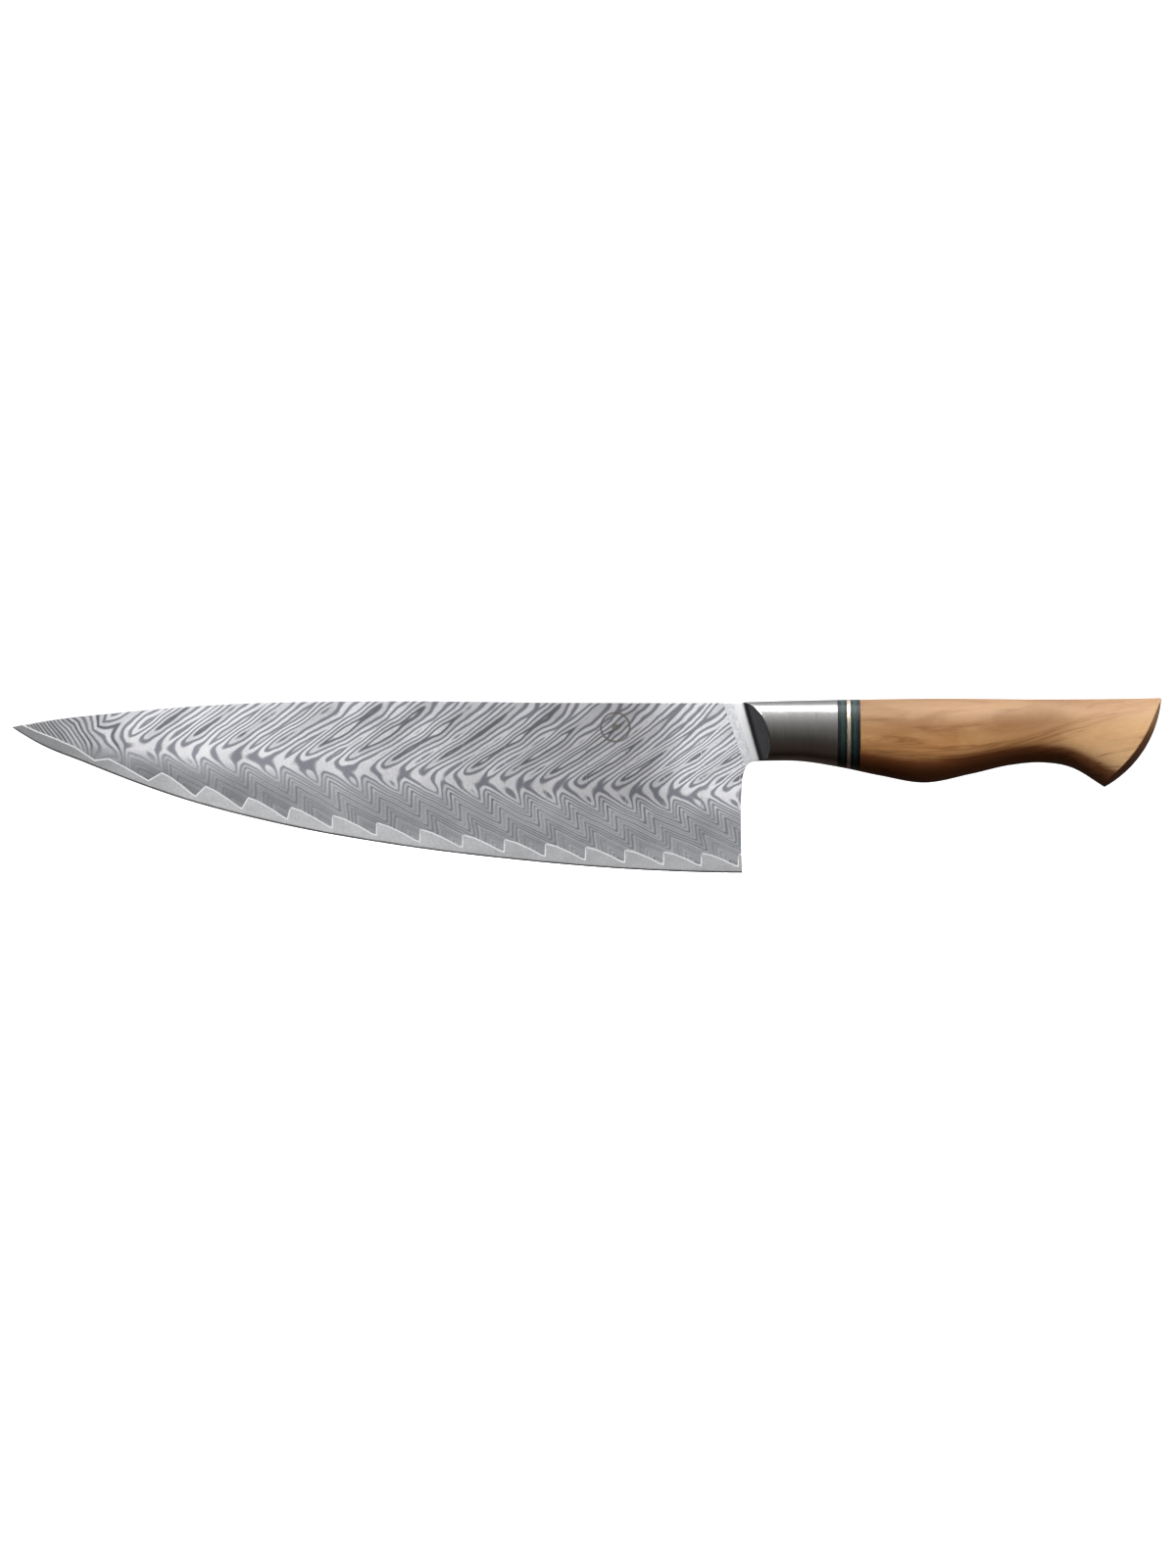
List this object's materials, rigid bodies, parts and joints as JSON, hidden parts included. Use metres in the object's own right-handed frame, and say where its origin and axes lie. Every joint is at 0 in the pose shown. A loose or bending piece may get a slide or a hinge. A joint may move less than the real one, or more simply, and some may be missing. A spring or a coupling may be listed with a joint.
{
  "type": "chef knife",
  "caption": "Chef's knife with a patterned clad blade, brushed bolster, thin spacers and an oval wooden handle with a beaked butt.",
  "frame": {"origin": "under the middle of the overall length, on the mid-plane of the blade, level with the lowest point of the cutting edge", "axes": "+X from the tip to the butt of the handle, +Y across the thickness towards the knife's right side, +Z from the edge up to the spine"},
  "size_m": [0.32, 0.021, 0.0488],
  "materials": {
    "core_steel": "satin ground",
    "damascus_steel": "etched two-tone pattern, satin",
    "weld_steel": "ground flush, fine grain",
    "bolster_steel": "brushed across the knife",
    "tang_steel": "rolled, unfinished",
    "spacer_black": "sanded and buffed",
    "spacer_green": "sanded and buffed",
    "spacer_brass": "sanded and buffed",
    "epoxy": "cured, hidden",
    "olive_wood": "oiled, hand-rubbed"
  },
  "bodies": {
    "root": {"blade_core": "core_steel", "cladding_left": "damascus_steel", "cladding_right": "damascus_steel", "weld_seam": "weld_steel", "bolster": "bolster_steel", "tang": "tang_steel", "spacer_black_front": "spacer_black", "spacer_green_front": "spacer_green", "spacer_black_mid_front": "spacer_black", "spacer_brass": "spacer_brass", "spacer_black_mid_rear": "spacer_black", "spacer_green_rear": "spacer_green", "spacer_black_rear": "spacer_black", "epoxy_bed": "epoxy", "handle": "olive_wood"}
  },
  "joints": []
}
